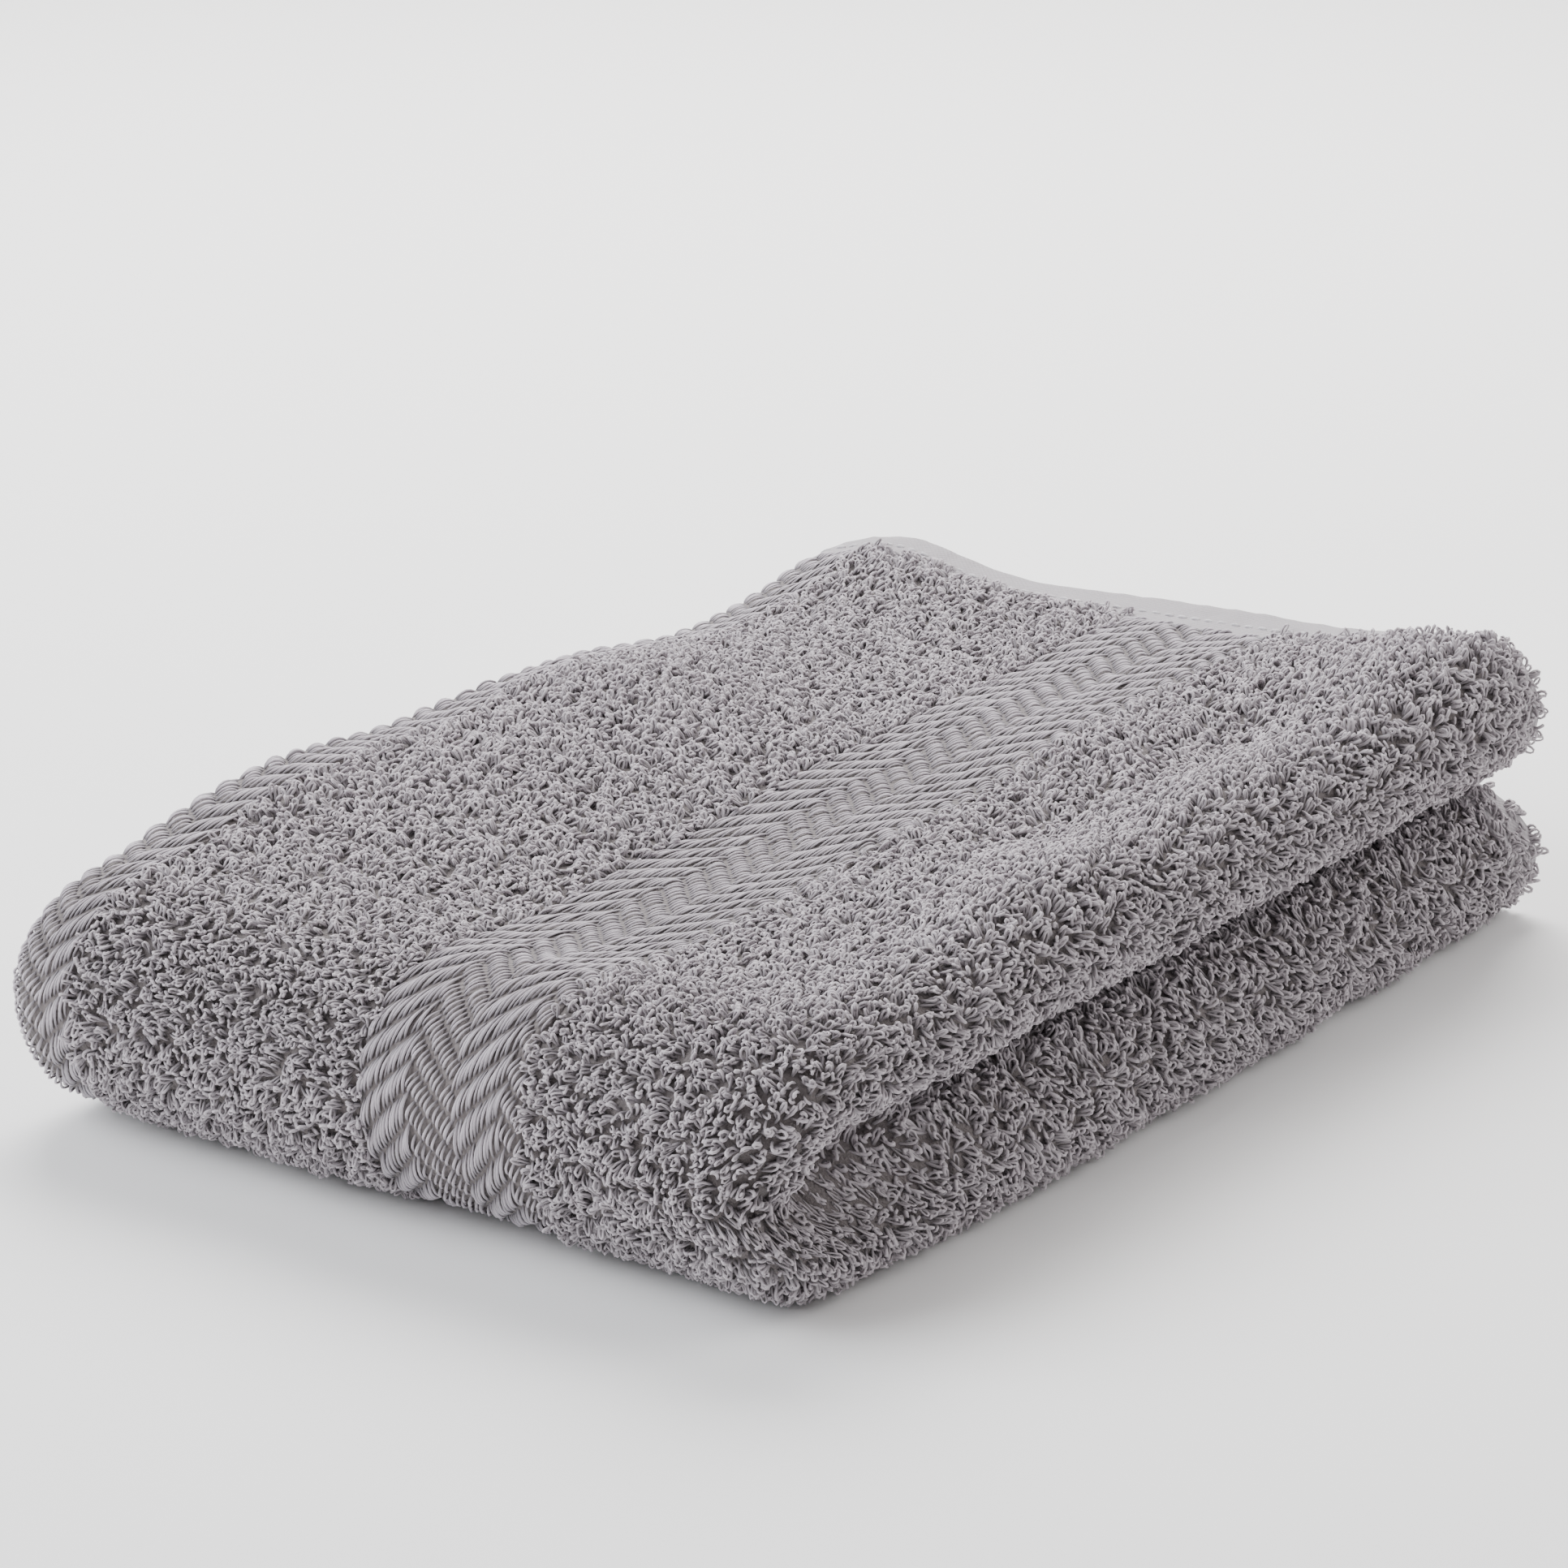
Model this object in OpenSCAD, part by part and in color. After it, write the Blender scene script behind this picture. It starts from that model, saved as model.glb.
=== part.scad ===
// A terry bath towel as it lies folded on a shelf: folded hem to hem, then in thirds,
// then once more across its width, so that the last fold makes the round front edge.
//
// X runs from the hem ends (left) to the round lips (right), Y from the front fold to
// the side hems at the back, Z up. The origin is the middle of the footprint.
//
// Each half of the towel is the same stack of six layers of cloth. From the outside in:
// the outer hem panel, the lining hem panel, the two middle panels, the lining base
// panel and the outer base panel. A stack is drawn once as flat sections in the plane
// of (distance from the mid plane, X). Each section is pulled straight back for the
// upper and lower halves, and swept about the fold axis for the front roll.

/* [Folded size] */
// Length of the folded towel, from the hem ends to the lips
fold_length = 233; // [180:1:300]
// Width of the folded towel, from the front fold to the side hems
fold_width = 350; // [240:1:460]

/* [Cloth] */
// Thickness of one layer of terry with its pile pressed down
layer_t = 5.6; // [4.6:0.1:7.5]
// Air between two layers of one half
layer_gap = 0.3; // [0.2:0.05:0.6]
// Air between the upper and the lower half
mid_gap = 2.4; // [1:0.1:5]
// Air between the upper half and the front roll
roll_gap = 0.3; // [0.2:0.05:0.6]

/* [Bands] */
// Width of the stitched hem at the towel's end
end_hem_w = 7; // [4:0.5:12]
// Length of the towel's end that hangs straight down over the left edge
end_drop = 19; // [14:0.5:23]
// Distance from the left edge to where the end band stops and the terry strip starts
end_band_reach = 22; // [16:0.5:34]
// Width of the terry strip between the end band and the border band
terry_strip_w = 90; // [50:1:96]
// Width of the herringbone border band
border_band_w = 46; // [25:1:52]

/* [Side hems] */
// Width of the flat hem along the back edge of each layer
side_hem_w = 14; // [8:0.5:20]
// Air between the side hem and the cloth in front of it
seam_gap = 0.1; // [0.05:0.05:0.3]
// Thickness of a stitched hem
hem_t = 3.4; // [2.4:0.1:3.8]

/* [Stitching] */
// Length of one stitch
stitch_len = 2.6; // [1.5:0.1:3.6]
// Distance from one stitch to the next
stitch_pitch = 4.2; // [4:0.1:7]
// Diameter of the sewing thread
thread_d = 0.8; // [0.5:0.05:1]

/* [Hidden] */
$fn = 72;

// Layers are counted from the mid plane: 0 is the outer base panel, 5 the outer hem panel.
BASE = 0;
LINING_BASE = 1;
LINING_MIDDLE = 2;
MIDDLE = 3;
LINING_PANEL = 4;
OUTER = 5;
LAYERS = 6;
pitch = layer_t + layer_gap;
half_t = mid_gap / 2 + LAYERS * layer_t + (LAYERS - 1) * layer_gap;

// Distance from the mid plane to the inner and the outer face of a layer
function inner_face(i) = mid_gap / 2 + i * pitch;
function outer_face(i) = inner_face(i) + layer_t;

// The fold axis of the front roll runs along X through this line.
roll_y = -fold_width / 2 + half_t;
straight_len = fold_width / 2 - roll_y;

// Radii of the nested folds, each one layer thick
small_fold_r = layer_t + layer_gap / 2;
mid_fold_r = small_fold_r + pitch;
big_fold_r = mid_fold_r + pitch;

// Places along X
left = -fold_length / 2;
right = fold_length / 2;
lip_x = right - big_fold_r;
end_bend_r = layer_t + pitch;
end_bend_x = left + end_bend_r;
crease_x = left + pitch + mid_fold_r;
strip_x = left + end_band_reach;
border_x = strip_x + terry_strip_w;
field_x = border_x + border_band_w;

// Distance from the mid plane to the centre line of each kind of fold
lip_centre = inner_face(MIDDLE) - layer_gap / 2;
crease_centre = inner_face(LINING_MIDDLE) - layer_gap / 2;
end_bend_centre = half_t - end_bend_r;
end_hem_low = end_bend_centre - end_drop;
hem_inset = (layer_t - hem_t) / 2;

// Distance from the back edge to where the outer cloth starts
back_seam = side_hem_w + seam_gap;

terry = [0.63, 0.61, 0.62];
woven = [0.70, 0.68, 0.69];
thread = [0.76, 0.74, 0.75];

// A block of section from one distance to another, and from one X to another
module block(low, high, from_x, to_x) {
    translate([low, from_x]) square([high - low, to_x - from_x]);
}

// One layer of section over a stretch of X
module layer(i, from_x, to_x) {
    block(inner_face(i), outer_face(i), from_x, to_x);
}

// A half-round fold one layer thick; side is 1 for a lip and -1 for a crease
module fold_ring(centre, x, outer_r, side) {
    intersection() {
        translate([centre, x]) difference() {
            circle(r = outer_r);
            circle(r = outer_r - layer_t);
        }
        translate([centre - outer_r, side > 0 ? x : x - outer_r]) square([2 * outer_r, outer_r]);
    }
}

// The innermost fold, with no air inside it
module fold_core(centre, x, outer_r, side) {
    intersection() {
        translate([centre, x]) circle(r = outer_r);
        translate([centre - outer_r, side > 0 ? x : x - outer_r]) square([2 * outer_r, outer_r]);
    }
}

// The quarter bend where the towel's end turns down over the left edge
module end_bend() {
    intersection() {
        translate([end_bend_centre, end_bend_x]) difference() {
            circle(r = end_bend_r);
            circle(r = end_bend_r - layer_t);
        }
        block(end_bend_centre, half_t, left, end_bend_x);
    }
}

// Takes a section in (distance, X) to one of the three parts of the towel
module place(where, back = 0) {
    translate([0, roll_y, half_t]) {
        if (where == "upper")
            rotate(a = -120, v = [1, 1, 1])
                translate([0, 0, roll_gap])
                    linear_extrude(straight_len - roll_gap - back) children();
        if (where == "lower")
            mirror([0, 0, 1])
                rotate(a = -120, v = [1, 1, 1])
                    linear_extrude(straight_len - back) children();
        if (where == "roll")
            rotate(a = 180, v = [1, 0, 1])
                rotate_extrude(angle = 180) children();
    }
}

// The outer cloth, from its hem to the lips
module end_hem(where) {
    color(woven) place(where, back_seam)
        block(end_hem_low, end_hem_low + end_hem_w, left + hem_inset, left + hem_inset + hem_t);
}

module end_band(where) {
    color(woven) place(where, back_seam) union() {
        block(end_hem_low + end_hem_w, end_bend_centre, left, left + layer_t);
        end_bend();
        layer(OUTER, end_bend_x, strip_x);
    }
}

module terry_strip(where) {
    color(terry) place(where, back_seam) layer(OUTER, strip_x, border_x);
}

module border_band(where) {
    color(woven) place(where, back_seam) layer(OUTER, border_x, field_x);
}

module terry_field(where) {
    color(terry) place(where, back_seam) layer(OUTER, field_x, lip_x);
}

module outer_lip(where) {
    color(terry) place(where) fold_ring(lip_centre, lip_x, big_fold_r, 1);
}

module base_panel(where) {
    color(terry) place(where) layer(BASE, crease_x, lip_x);
}

module outer_crease(where) {
    color(terry) place(where) fold_ring(crease_centre, crease_x, mid_fold_r, -1);
}

module middle_panel(where) {
    color(terry) place(where) layer(MIDDLE, crease_x, lip_x);
}

// The lining cloth, from its own hem to the fold that joins it to the outer cloth
module lining_hem(where) {
    color(woven) place(where)
        block(inner_face(LINING_PANEL) + hem_inset, outer_face(LINING_PANEL) - hem_inset,
            end_bend_x, end_bend_x + end_hem_w);
}

module lining_panel(where) {
    color(terry) place(where) layer(LINING_PANEL, end_bend_x + end_hem_w, lip_x);
}

module lining_lip(where) {
    color(terry) place(where) fold_ring(lip_centre, lip_x, mid_fold_r, 1);
}

module lining_base(where) {
    color(terry) place(where) layer(LINING_BASE, crease_x, lip_x);
}

module lining_crease(where) {
    color(terry) place(where) fold_core(crease_centre, crease_x, small_fold_r, -1);
}

module lining_middle(where) {
    color(terry) place(where) layer(LINING_MIDDLE, crease_x, lip_x);
}

module half_fold(where) {
    color(terry) place(where) fold_core(lip_centre, lip_x, small_fold_r, 1);
}

// Moves a straight piece to the back edge of its half
module at_back_edge(where) {
    translate([0, fold_width / 2 - side_hem_w, half_t])
        mirror([0, 0, where == "upper" ? 0 : 1]) children();
}

// The flat hem along the back edge of the outer cloth, over the top and down the left edge
module side_hem(where) {
    color(woven) at_back_edge(where) {
        translate([end_bend_x, 0, inner_face(OUTER) + hem_inset])
            cube([lip_x - end_bend_x, side_hem_w, hem_t]);
        translate([left + hem_inset, 0, end_hem_low])
            cube([hem_t, side_hem_w, end_drop]);
        rotate(a = -120, v = [1, 1, 1]) linear_extrude(side_hem_w) intersection() {
            translate([end_bend_centre, end_bend_x]) difference() {
                circle(r = end_bend_r - hem_inset);
                circle(r = end_bend_r - hem_inset - hem_t);
            }
            block(end_bend_centre, half_t, left, end_bend_x);
        }
    }
}

// A line of stitches along X on the side hem
module side_stitch(where) {
    run = lip_x - end_bend_x;
    count = floor(run / stitch_pitch);
    rest = outer_face(OUTER) - hem_inset + thread_d / 2;
    color(thread) at_back_edge(where)
        for (i = [0 : count - 1])
            translate([end_bend_x + (i + 0.5) * run / count - stitch_len / 2, side_hem_w / 3, rest])
                rotate([0, 90, 0]) cylinder(d = thread_d, h = stitch_len);
}

// A line of stitches along Y on the end hem
module end_stitch(where) {
    run = straight_len - back_seam - roll_gap;
    count = floor(run / stitch_pitch);
    color(thread) translate([left + hem_inset - thread_d / 2, roll_y + roll_gap, half_t])
        mirror([0, 0, where == "upper" ? 0 : 1])
            for (i = [0 : count - 1])
                translate([0, (i + 0.5) * run / count + stitch_len / 2, end_hem_low + end_hem_w * 0.7])
                    rotate([90, 0, 0]) cylinder(d = thread_d, h = stitch_len);
}

end_hem("upper");  // upper_end_hem
end_band("upper");  // upper_end_band
terry_strip("upper");  // upper_terry_strip
border_band("upper");  // upper_border_band
terry_field("upper");  // upper_terry_field
outer_lip("upper");  // upper_outer_lip
base_panel("upper");  // upper_base_panel
outer_crease("upper");  // upper_outer_crease
middle_panel("upper");  // upper_middle_panel
lining_hem("upper");  // upper_lining_hem
lining_panel("upper");  // upper_lining_panel
lining_lip("upper");  // upper_lining_lip
lining_base("upper");  // upper_lining_base
lining_crease("upper");  // upper_lining_crease
lining_middle("upper");  // upper_lining_middle
half_fold("upper");  // upper_half_fold
end_hem("roll");  // roll_end_hem
end_band("roll");  // roll_end_band
terry_strip("roll");  // roll_terry_strip
border_band("roll");  // roll_border_band
terry_field("roll");  // roll_terry_field
outer_lip("roll");  // roll_outer_lip
base_panel("roll");  // roll_base_panel
outer_crease("roll");  // roll_outer_crease
middle_panel("roll");  // roll_middle_panel
lining_hem("roll");  // roll_lining_hem
lining_panel("roll");  // roll_lining_panel
lining_lip("roll");  // roll_lining_lip
lining_base("roll");  // roll_lining_base
lining_crease("roll");  // roll_lining_crease
lining_middle("roll");  // roll_lining_middle
half_fold("roll");  // roll_half_fold
end_hem("lower");  // lower_end_hem
end_band("lower");  // lower_end_band
terry_strip("lower");  // lower_terry_strip
border_band("lower");  // lower_border_band
terry_field("lower");  // lower_terry_field
outer_lip("lower");  // lower_outer_lip
base_panel("lower");  // lower_base_panel
outer_crease("lower");  // lower_outer_crease
middle_panel("lower");  // lower_middle_panel
lining_hem("lower");  // lower_lining_hem
lining_panel("lower");  // lower_lining_panel
lining_lip("lower");  // lower_lining_lip
lining_base("lower");  // lower_lining_base
lining_crease("lower");  // lower_lining_crease
lining_middle("lower");  // lower_lining_middle
half_fold("lower");  // lower_half_fold
side_hem("upper");  // upper_side_hem
side_hem("lower");  // lower_side_hem
side_stitch("upper");  // upper_side_stitch
side_stitch("lower");  // lower_side_stitch
end_stitch("upper");  // upper_end_stitch
end_stitch("lower");  // lower_end_stitch
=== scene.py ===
import math

import bpy
import numpy as np
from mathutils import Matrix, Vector


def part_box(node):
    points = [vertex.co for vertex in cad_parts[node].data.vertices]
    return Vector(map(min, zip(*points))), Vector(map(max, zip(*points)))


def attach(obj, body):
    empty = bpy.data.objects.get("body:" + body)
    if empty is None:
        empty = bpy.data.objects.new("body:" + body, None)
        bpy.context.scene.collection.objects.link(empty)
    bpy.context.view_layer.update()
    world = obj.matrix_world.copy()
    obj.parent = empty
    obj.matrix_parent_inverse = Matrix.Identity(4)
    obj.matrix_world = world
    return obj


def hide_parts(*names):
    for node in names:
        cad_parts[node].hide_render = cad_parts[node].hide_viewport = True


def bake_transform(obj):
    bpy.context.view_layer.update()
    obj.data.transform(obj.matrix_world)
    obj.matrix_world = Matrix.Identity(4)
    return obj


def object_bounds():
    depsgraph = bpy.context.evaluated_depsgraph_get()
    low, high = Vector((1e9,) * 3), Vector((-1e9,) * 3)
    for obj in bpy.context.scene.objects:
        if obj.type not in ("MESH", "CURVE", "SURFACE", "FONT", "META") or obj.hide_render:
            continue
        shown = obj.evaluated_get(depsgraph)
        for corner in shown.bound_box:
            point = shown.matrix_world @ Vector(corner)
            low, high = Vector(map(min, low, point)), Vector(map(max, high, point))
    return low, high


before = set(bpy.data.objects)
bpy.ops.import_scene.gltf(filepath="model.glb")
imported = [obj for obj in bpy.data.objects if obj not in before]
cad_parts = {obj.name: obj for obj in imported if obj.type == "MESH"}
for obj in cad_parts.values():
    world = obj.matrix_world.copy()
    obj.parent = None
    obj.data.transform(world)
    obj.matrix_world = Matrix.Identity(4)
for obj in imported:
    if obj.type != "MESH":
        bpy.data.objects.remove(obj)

bl_info = {
    "name": "Folded terry towel",
    "version": (1, 0, 0),
    "blender": (4, 5, 0),
    "location": "View3D > Sidebar > Towel",
    "description": "Builds the loops, woven bands, hems and stitches of a folded terry bath towel",
    "category": "Object",
}

MM = 0.001
SEED = 20

# The fold's plan, in millimetres, read from the frame


def box_mm(node):
    """Lowest and highest corner of a CAD node, in millimetres."""
    low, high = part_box(node)
    return np.array(low) / MM, np.array(high) / MM


WHOLE = [np.array(corner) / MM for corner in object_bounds()]
LEFT, FRONT = WHOLE[0][:2]
RIGHT, BACK, TOP = WHOLE[1]
HALF = TOP / 2
ROLL_Y = FRONT + HALF
BASE_PANEL = box_mm("upper_base_panel")
LAYER = BASE_PANEL[1][2] - BASE_PANEL[0][2]
INNER = BASE_PANEL[0][2] - HALF
PITCH = box_mm("upper_lining_base")[0][2] - BASE_PANEL[0][2]
CREASE_X = BASE_PANEL[0][0]
STRIP_X, BORDER_X = (corner[0] for corner in box_mm("upper_terry_strip"))
FIELD_X, LIP_X = (corner[0] for corner in box_mm("upper_terry_field"))
SEAM_Y = box_mm("upper_terry_field")[1][1]
CREASE = box_mm("upper_outer_crease")
CREASE_D = (CREASE[0][2] + CREASE[1][2]) / 2 - HALF
CREASE_R = (CREASE[1][2] - CREASE[0][2]) / 2
LIP_D = (INNER + HALF) / 2
LIP_R = RIGHT - LIP_X
BEND_R = LAYER + PITCH
BEND_X = LEFT + BEND_R
BEND_D = HALF - BEND_R
HEM_LOW, HEM_HIGH = (corner[2] - HALF for corner in box_mm("upper_end_hem"))
LINING_HEM = box_mm("upper_lining_hem")
HEM_T = LINING_HEM[1][2] - LINING_HEM[0][2]
CLOTH_R = HALF - LAYER / 2
ROLL_LENGTH = math.pi * CLOTH_R
BACK_RUN = BACK - ROLL_Y
HEM_RUN = BACK - SEAM_Y
BEYOND = 99.0  # further from the mid plane than any layer
PARTS = ("upper", "roll", "lower")

# Heights over the middle of the cloth, in millimetres
GROUND_LIFT = 0.7
BAND_LIFT = 1.2
FLOAT_LIFT = 0.55
UNDERSIDE = 2.0
PRESSED_THICK = 3.6


class FoldPath:
    """The line that the cloth follows through one half, in (distance from the mid plane, X)."""

    def __init__(self):
        self.parts = []
        self.ends = [0.0]

    def line(self, start, end):
        """A straight run of cloth."""
        self.parts.append(("line", np.array(start, float), np.array(end, float)))
        self.ends.append(self.ends[-1] + math.dist(start, end))
        return self

    def arc(self, centre, radius, first, last):
        """A turn of cloth, from one angle to another, in degrees."""
        turns = math.radians(first), math.radians(last)
        self.parts.append(("arc", np.array(centre, float), radius, *turns))
        self.ends.append(self.ends[-1] + radius * abs(math.radians(last - first)))
        return self

    def at(self, along):
        """Points (d, x) and their outward normals (d, x) at these lengths along the cloth."""
        along = np.asarray(along, float)
        point, normal = np.empty(along.shape + (2,)), np.empty(along.shape + (2,))
        which = np.clip(np.searchsorted(self.ends, along, side="right") - 1, 0, len(self.parts) - 1)
        for i, part in enumerate(self.parts):
            mine = which == i
            run = along[mine] - self.ends[i]
            if part[0] == "line":
                way = (part[2] - part[1]) / max(np.linalg.norm(part[2] - part[1]), 1e-9)
                point[mine] = part[1] + run[:, None] * way
                normal[mine] = (way[1], -way[0])
            else:
                turn = 1.0 if part[4] > part[3] else -1.0
                angle = part[3] + turn * run / part[2]
                out = np.stack([np.cos(angle), np.sin(angle)], -1)
                point[mine] = part[1] + part[2] * out
                normal[mine] = turn * out
        return point, normal


def layer_d(index):
    """Distance from the mid plane to the middle of a layer, counted from the mid plane."""
    return INNER + index * PITCH + LAYER / 2


def towel_path():
    """The whole cloth of one half, from the outer hem to the lining hem, and its stations."""
    outer, base, middle = layer_d(5), layer_d(0), layer_d(3)
    lining_middle, lining_base, lining_panel = layer_d(2), layer_d(1), layer_d(4)
    path = FoldPath()
    stations = {"hem": 0.0}
    hang_x = LEFT + LAYER / 2
    path.line((HEM_LOW, hang_x), (HEM_HIGH, hang_x))
    stations["end_band"] = path.ends[-1]
    path.line((HEM_HIGH, hang_x), (BEND_D, hang_x))
    path.arc((BEND_D, BEND_X), BEND_R - LAYER / 2, -90, 0)
    path.line((outer, BEND_X), (outer, STRIP_X))
    stations["strip"] = path.ends[-1]
    path.line((outer, STRIP_X), (outer, BORDER_X))
    stations["border"] = path.ends[-1]
    path.line((outer, BORDER_X), (outer, FIELD_X))
    stations["field"] = path.ends[-1]
    path.line((outer, FIELD_X), (outer, LIP_X))
    stations["lip"] = path.ends[-1]
    path.arc((LIP_D, LIP_X), LIP_R - LAYER / 2, 0, 180)
    stations["base"] = path.ends[-1]
    path.line((base, LIP_X), (base, CREASE_X))
    stations["crease"] = path.ends[-1]
    path.arc((CREASE_D, CREASE_X), CREASE_R - LAYER / 2, 180, 360)
    stations["middle"] = path.ends[-1]
    path.line((middle, CREASE_X), (middle, LIP_X))
    path.arc((LIP_D, LIP_X), PITCH / 2, 0, 180)
    path.line((lining_middle, LIP_X), (lining_middle, CREASE_X))
    path.arc((CREASE_D, CREASE_X), PITCH / 2, 360, 180)
    path.line((lining_base, CREASE_X), (lining_base, LIP_X))
    path.arc((LIP_D, LIP_X), lining_panel - LIP_D, 180, 0)
    path.line((lining_panel, LIP_X), (lining_panel, LINING_HEM[1][0]))
    stations["lining_hem"] = path.ends[-1]
    path.line((lining_panel, LINING_HEM[1][0]), (lining_panel, LINING_HEM[0][0]))
    stations["end"] = path.ends[-1]
    return path, stations


PATH, AT = towel_path()


def sweep(along, round_, lift=0.0):
    """Where the cloth is: along its path, and round_ from the upper back edge (below 0) over the
    front roll (0 to ROLL_LENGTH) to the lower back edge, lifted outwards. Returns points, normals,
    the way along the path and the way round."""
    along, round_ = np.broadcast_arrays(np.asarray(along, float), np.asarray(round_, float))
    section, normal = PATH.at(along)
    d, x = section[..., 0] + lift * normal[..., 0], section[..., 1] + lift * normal[..., 1]
    angle = np.clip(round_ / CLOTH_R, 0, math.pi)
    extra = np.where(round_ < 0, -round_, np.maximum(round_ - ROLL_LENGTH, 0))
    sin, cos, zero = np.sin(angle), np.cos(angle), np.zeros_like(angle)
    point = np.stack([x, ROLL_Y - d * sin + extra, HALF + d * cos], -1)
    out = np.stack([normal[..., 1], -normal[..., 0] * sin, normal[..., 0] * cos], -1)
    way = np.stack([normal[..., 0], normal[..., 1] * sin, -normal[..., 1] * cos], -1)
    turn = np.stack([zero, -cos, -sin], -1)
    return point, out, way, turn


# Settings that a user would change


def mm_setting(name, description, default, low, high):
    """A length of the cloth, in millimetres, with its range."""
    return bpy.props.FloatProperty(
        name=name, description=f"{description}, in millimetres", default=default, min=low, max=high
    )


def share_setting(name, description, default, low, high):
    """A share or a slope, with its range."""
    return bpy.props.FloatProperty(
        name=name, description=description, default=default, min=low, max=high
    )


def colour_setting(name, description, default):
    """A colour, as linear values: a dye, and for the ground cloth a dye darkened with painted shade.
    """
    return bpy.props.FloatVectorProperty(
        name=name, description=description, subtype="COLOR", size=3, default=default
    )


class TowelPile(bpy.types.PropertyGroup):
    """The loops of the terry."""

    loop_length: mm_setting("Loop length", "Height of one loop of pile", 3.9, 2, 9)
    loop_width: mm_setting("Loop width", "Width of one loop", 1.3, 0.8, 4)
    yarn_radius: mm_setting("Yarn radius", "Radius of the pile yarn", 0.37, 0.1, 1)
    spacing: mm_setting("Loop spacing", "Distance from loop to loop", 1.75, 1.5, 6)
    lean: share_setting("Lean", "How far the loops lie over, as a share of their length", 0.64, 0, 1)
    clumping: share_setting("Clumping", "How far neighbouring loops lean together", 0.48, 0, 1)


class TowelWeave(bpy.types.PropertyGroup):
    """The herringbone of the two woven bands."""

    rib_pitch: mm_setting("Rib pitch", "Distance from rib to rib", 8.7, 4, 16)
    column_width: mm_setting("Column width", "Width of one column of ribs", 13.6, 5, 30)
    rib_slope: share_setting(
        "Rib slope", "How far a rib climbs for each millimetre across", 1.08, 0.2, 2
    )
    thread_lean: mm_setting("Thread lean", "How far a float leans over its length", 2.6, 0, 6)
    thread_pitch: mm_setting("Thread pitch", "Distance from thread to thread", 1.05, 0.5, 2)
    thread_radius: mm_setting("Thread radius", "Radius of a float thread", 0.4, 0.2, 1)
    arch: mm_setting("Arch", "How high a float stands over the ground weave", 1.8, 0, 3)


class TowelColours(bpy.types.PropertyGroup):
    """The colours, as linear values: dyed, with the ground cloth's darkened as painted shade of the
    gaps between loops and floats.
    """

    pile: colour_setting("Pile", "Colour of the loops", (0.485, 0.443, 0.473))
    weave: colour_setting("Woven bands", "Colour of the herringbone", (0.52, 0.48, 0.52))
    # Painted shade: the ground cloth's dye made much darker than the loops', standing for the shade
    # in the gaps between loops and between floats
    ground: colour_setting(
        "Ground cloth", "Colour of the cloth under the loops", (0.17, 0.15, 0.15)
    )
    hem: colour_setting("Hems", "Colour of the hems", (0.38, 0.355, 0.375))
    thread: colour_setting("Sewing thread", "Colour of the stitches", (0.57, 0.55, 0.57))


class TowelStage(bpy.types.PropertyGroup):
    """The camera and the studio."""

    azimuth: bpy.props.FloatProperty(
        name="Azimuth",
        description="Where the camera stands, turned from the front",
        subtype="ANGLE",
        default=math.radians(35.17),
    )
    elevation: bpy.props.FloatProperty(
        name="Elevation",
        description="How far the camera looks down",
        subtype="ANGLE",
        default=math.radians(19.17),
    )
    distance: bpy.props.FloatProperty(
        name="Distance",
        description="From the camera to what it looks at",
        unit="LENGTH",
        default=1.62272,
    )
    aim: bpy.props.FloatVectorProperty(
        name="Aim",
        description="What the camera looks at",
        subtype="TRANSLATION",
        size=3,
        default=(-0.05177, 0.06406, 0.035),
    )
    lens: bpy.props.FloatProperty(
        name="Lens", description="Focal length, in millimetres", unit="CAMERA", default=139.75
    )
    key_power: bpy.props.FloatProperty(
        name="Key light",
        description="Power of the large light over the back left",
        unit="POWER",
        default=51.0,
    )


SETTINGS = {
    "towel_pile": TowelPile,
    "towel_weave": TowelWeave,
    "towel_colours": TowelColours,
    "towel_stage": TowelStage,
}


# How the folded cloth settles

# Rises and dips of the top: how far (mm), centre X and Y, and reach in X and Y
TOP_FORMS = (
    (-7.9, 15, -95, 55, 75),
    (-3.3, 15, 15, 55, 75),
    (-2.0, 15, 140, 60, 60),
    (4.5, 30, 180, 75, 16),
    (8.0, -85, 172, 26, 30),
    (8.5, -112, -78, 26, 38),
    (4.0, -112, -5, 24, 30),
    (-4.3, -108, 105, 35, 35),
    (9.0, -70, 0, 40, 80),
    (-4.5, 64, 8, 11, 34),
    (-5.0, 74, 76, 11, 38),
    (3.2, 98, 45, 13, 55),
    (2.6, 97, -60, 12, 60),
    (8.4, 94, 138, 30, 42),
    (-7.5, 84, 186, 48, 15),
    (-4.8, 95, -115, 45, 60),
    (-4.9, 95, 20, 30, 60),
)
LEFT_SINK = -10.7

# Sideways pushes of the right-hand lips: how far at the mid plane, centre Y, reach, and whether
# the push is for the upper (1), the lower (-1) or both lips (0)
LIP_FORMS = (
    (3.0, -60, 45, -1),
    (3.5, 60, 70, -1),
    (-2.0, -140, 30, 0),
    (2.0, 130, 50, 1),
    (-1.5, 20, 40, 1),
)


def ease(value):
    """A smooth step from 0 to 1."""
    value = np.clip(value, 0, 1)
    return value * value * (3 - 2 * value)


WAVE_COUNT = 6
WAVE_SUM = 2.6  # what so many sines reach together, about


def waves(x, y, size, seed):
    """Slow smooth waves over a plane, about 1 high, with crests about size apart."""
    rng = np.random.default_rng(seed)
    total = np.zeros(np.broadcast(x, y).shape)
    for _ in range(WAVE_COUNT):
        angle, phase = rng.uniform(0, math.tau, 2)
        run = size * rng.uniform(0.7, 1.5)
        across = x * math.cos(angle) + y * math.sin(angle)
        total = total + np.sin(across * math.tau / run + phase)
    return total / WAVE_SUM


def bell(value, reach):
    """1 in the middle, falling away smoothly over this reach."""
    return np.exp(-((value / reach) ** 2))


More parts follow.
